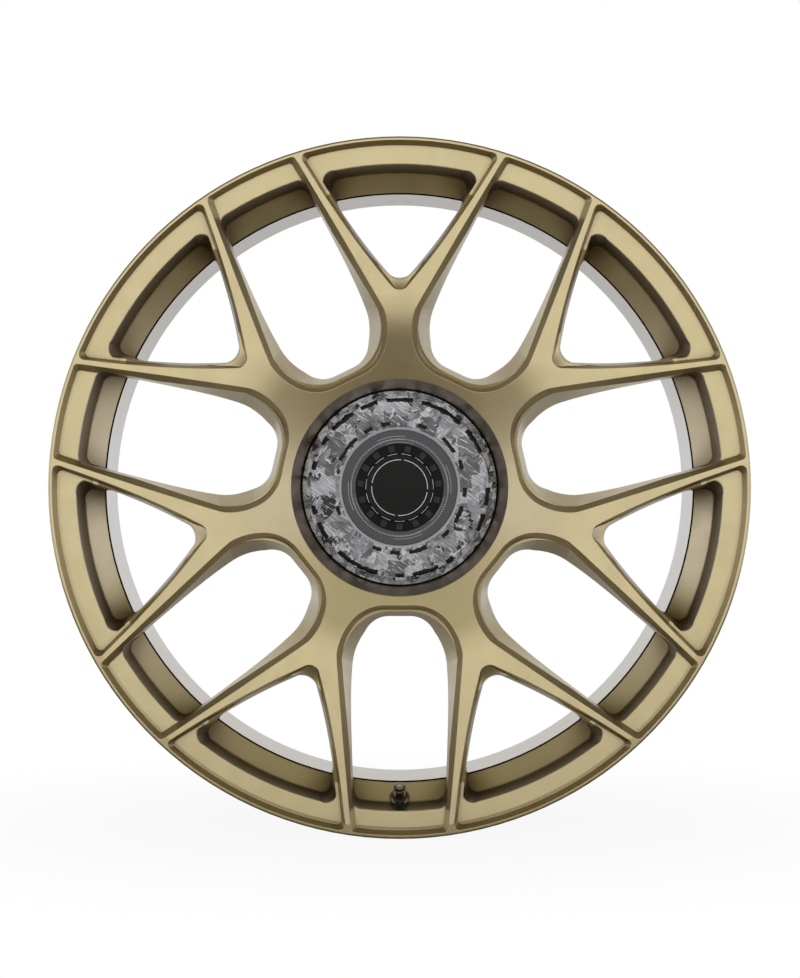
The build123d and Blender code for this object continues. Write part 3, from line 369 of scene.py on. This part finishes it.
# one nickel plate in two copies: painted shade darkens the copy on the valve stem and nut, painted light
# brightens the copy on the washer and cap
shaded_nickel = bare_metal("shaded_nickel_plate", "55504b", "6e6963", 0.22, 0.3)
lit_nickel = bare_metal("lit_nickel_plate", "a8a4a0", "c4c0bb", 0.2, 0.3)
brass = bare_metal("turned_brass", "a8863f", "c29f58", 0.3, 0.3)
nylon = moulded("glass_filled_nylon", "0d0d0d", "1b1b1b", 0.55, 0.6, 0.03)
rubber = moulded("moulded_rubber", "0b0b0b", "161616", 0.7, 0.5, 0.02)
WEARS = {
    satin_gold_lacquer(): ["forged_face"],
    turned_aluminium(): ["inner_barrel"],
    bare_metal("wire_brushed_weld", "a9a6a1", "c1beb9", 0.4, 1.2): ["barrel_weld_bead"],
    bare_metal("turned_ring_alloy", "aeaeb0", "c6c6c8", 0.3, 0.5): ["centring_ring"],
    steel: ["lug_seat_inserts", "cap_receiver_screws", "cap_screws", "cap_bayonet_pins",
            "valve_core_spring"],
    shaded_nickel: ["valve_stem", "valve_nut"],
    lit_nickel: ["valve_washer", "valve_cap"],
    brass: ["valve_core_body", "valve_core_pin"],
    nylon: ["cap_receiver", "cap_carrier"],
    rubber: ["cap_seal_ring", "valve_grommet", "valve_core_seal", "valve_cap_seal"],
    camouflage_print(): ["cap_cover"],
    marked("printed_grey_abs", "5c5d60", "636467", INDEX_MARKS, "bfc0c4"): ["cap_index_ring"],
    marked("printed_black_abs", "0e0e0e", "151515", BADGE_MARKS, "e8e8ea"): ["cap_badge"],
    two_shot_plastic("two_shot_black_abs", "040404", "363638", TOOTH_TOPS): ["cap_tooth_ring"],
}
for finish, names in WEARS.items():
    for name in names:
        mesh = nodes[name].data
        mesh.materials.clear()
        mesh.materials.append(finish)

# the valve core's spring shortens towards its seat as the pin is pressed in
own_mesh(nodes["valve_core_spring"])

# ---------------------------------------------------------------- camera
CAMERA_DISTANCE = 1.97
lens = bpy.data.cameras.new("camera")
lens.lens = 93.08
lens.shift_x = 0.0004
lens.shift_y = -0.0014
camera = bpy.data.objects.new("camera", lens)
camera.location = (0, low.y - CAMERA_DISTANCE, 0)
camera.rotation_euler = (pi / 2, 0, 0)
scene.collection.objects.link(camera)
scene.camera = camera

# ---------------------------------------------------------------- studio
FLOOR_SIZE = 2.2
FLOOR_GAP = 0.05 * MM
bm = bmesh.new()
bmesh.ops.create_grid(bm, x_segments=1, y_segments=1, size=FLOOR_SIZE / 2)
floor_mesh = bpy.data.meshes.new("floor")
bm.to_mesh(floor_mesh)
bm.free()
floor = bpy.data.objects.new("floor", floor_mesh)
floor.location.z = low.z - FLOOR_GAP
scene.collection.objects.link(floor)


def page_rays(tree, behind):
    """1 for the rays that see the white page: the camera's, and those that metal and glass send behind."""
    rays = node(tree, "LightPath").outputs
    mirrored = node(tree, "Math", {0: rays["Is Glossy Ray"], 1: rays["Is Transmission Ray"]},
                    operation="MAXIMUM")
    back = node(tree, "Math", {0: mirrored, 1: behind}, operation="MULTIPLY")
    return node(tree, "Math", {0: rays["Is Camera Ray"], 1: back}, operation="MAXIMUM")


# The floor is matt pale paper. The camera sees it as the white page, with a faint shadow that fades out
# away from the wheel, and metal sees some of the page on it behind the wheel. From below it is clear.
SHADOW = (0.15, 0.55)
SHADOW_SHARE = 0.08
PAGE_BEHIND = (0.2, 0.5)
PAGE_SHARE = 0.38
paper, tree, place = start("matt_paper")
_, depth, _ = node(tree, "SeparateXYZ", {0: place}).outputs
away = node(tree, "VectorMath", {0: place}, operation="LENGTH")
fade = node(tree, "MapRange", {0: away, 1: SHADOW[0], 2: SHADOW[1], 3: SHADOW_SHARE, 4: 0.0},
            interpolation_type="SMOOTHSTEP")
behind = node(tree, "MapRange", {0: depth, 1: PAGE_BEHIND[0], 2: PAGE_BEHIND[1], 4: PAGE_SHARE},
              interpolation_type="SMOOTHSTEP")
matt = node(tree, "BsdfDiffuse", {"Color": lin("a2978a")})
page = node(tree, "Emission", {"Color": lin("ffffff"), "Strength": 1.0})
shade = node(tree, "BsdfDiffuse", {"Color": lin("ffffff")})
soft = node(tree, "MixShader", {0: fade, 1: page, 2: shade})
either = node(tree, "MixShader", {0: page_rays(tree, behind), 1: matt, 2: soft})
under = node(tree, "NewGeometry").outputs["Backfacing"]
sided = node(tree, "MixShader", {0: under, 1: either, 2: node(tree, "BsdfTransparent")})
node(tree, "OutputMaterial", {"Surface": sided})
floor_mesh.materials.append(paper)

# The room's soft light by direction: how far round from the front, 0 to 1, and the light there. It is
# wide and bright in front, tall and cooler at both sides, and dim and warm above and below the wheel.
SIDE_LIGHT = [
    (0.00, (1.35, 1.34, 1.30)),
    (0.04, (1.30, 1.28, 1.22)),
    (0.11, (1.16, 1.16, 1.28)),
    (0.21, (1.45, 1.50, 2.05)),
    (0.33, (1.00, 1.04, 1.32)),
    (0.44, (0.85, 0.86, 1.00)),
    (0.56, (0.80, 0.78, 0.84)),
    (0.69, (0.80, 0.76, 0.74)),
    (0.88, (0.76, 0.74, 0.74)),
    (0.96, (0.90, 0.92, 1.00)),
    (1.00, (0.95, 0.95, 0.95)),
]
HIGH_LIGHT = [
    (0.00, (1.35, 1.34, 1.30)),
    (0.04, (1.10, 1.07, 0.98)),
    (0.11, (0.50, 0.46, 0.34)),
    (0.21, (0.17, 0.155, 0.105)),
    (0.50, (0.15, 0.14, 0.10)),
    (0.69, (0.22, 0.20, 0.15)),
    (0.86, (0.42, 0.39, 0.32)),
    (0.95, (0.78, 0.73, 0.64)),
    (1.00, (0.95, 0.95, 0.95)),
]
LOW_LIGHT = [
    (0.00, (1.35, 1.34, 1.30)),
    (0.04, (0.85, 0.80, 0.66)),
    (0.11, (0.20, 0.17, 0.10)),
    (0.21, (0.08, 0.065, 0.035)),
    (0.50, (0.09, 0.07, 0.04)),
    (0.69, (0.10, 0.08, 0.05)),
    (0.88, (0.18, 0.16, 0.10)),
    (0.96, (0.32, 0.31, 0.27)),
    (1.00, (0.60, 0.60, 0.58)),
]
# the heights at which the light above and the light below take over from the sides, rise over run
ABOVE = (0.15, 0.65)
BELOW = (0.15, 0.5)
# how straight behind the wheel the white page begins, and where it is all there is
PAGE = (0.93, 0.985)

room = bpy.data.worlds.new("room")
scene.world = room
room.use_nodes = True
tree = room.node_tree
tree.nodes.clear()
across, ahead, up = node(tree, "SeparateXYZ", {0: node(tree, "TexCoord").outputs["Generated"]}).outputs
aside = node(tree, "VectorMath", {0: node(tree, "CombineXYZ", {0: across, 2: up})}, operation="LENGTH")
aside = node(tree, "Math", {0: aside, 1: 0.001}, operation="MAXIMUM")
height = node(tree, "Math", {0: up, 1: aside}, operation="DIVIDE")
drop = node(tree, "Math", {0: height, 1: -1.0}, operation="MULTIPLY")
turn = node(tree, "Math", {0: ahead, 1: 0.5, 2: 0.5}, operation="MULTIPLY_ADD")
bands = []
for stops in (SIDE_LIGHT, HIGH_LIGHT, LOW_LIGHT):
    bands.append(node(tree, "ValToRGB", {0: turn}))
    fill_ramp(bands[-1].color_ramp, stops)
above = node(tree, "MapRange", {0: height, 1: ABOVE[0], 2: ABOVE[1]}, interpolation_type="SMOOTHSTEP")
below = node(tree, "MapRange", {0: drop, 1: BELOW[0], 2: BELOW[1]}, interpolation_type="SMOOTHSTEP")
behind = node(tree, "MapRange", {0: ahead, 1: PAGE[0], 2: PAGE[1]}, interpolation_type="SMOOTHSTEP")
upper = node(tree, "Mix", {0: above, 6: bands[0], 7: bands[1]}, data_type="RGBA")
light = node(tree, "Mix", {0: below, 6: upper, 7: bands[2]}, data_type="RGBA")
lamp = node(tree, "Background", {"Color": light, "Strength": 1.0})
white = node(tree, "Background", {"Color": lin("ffffff"), "Strength": 1.0})
seen = node(tree, "MixShader", {0: page_rays(tree, behind), 1: lamp, 2: white})
node(tree, "OutputWorld", {"Surface": seen})

scene.view_settings.view_transform = "Standard"
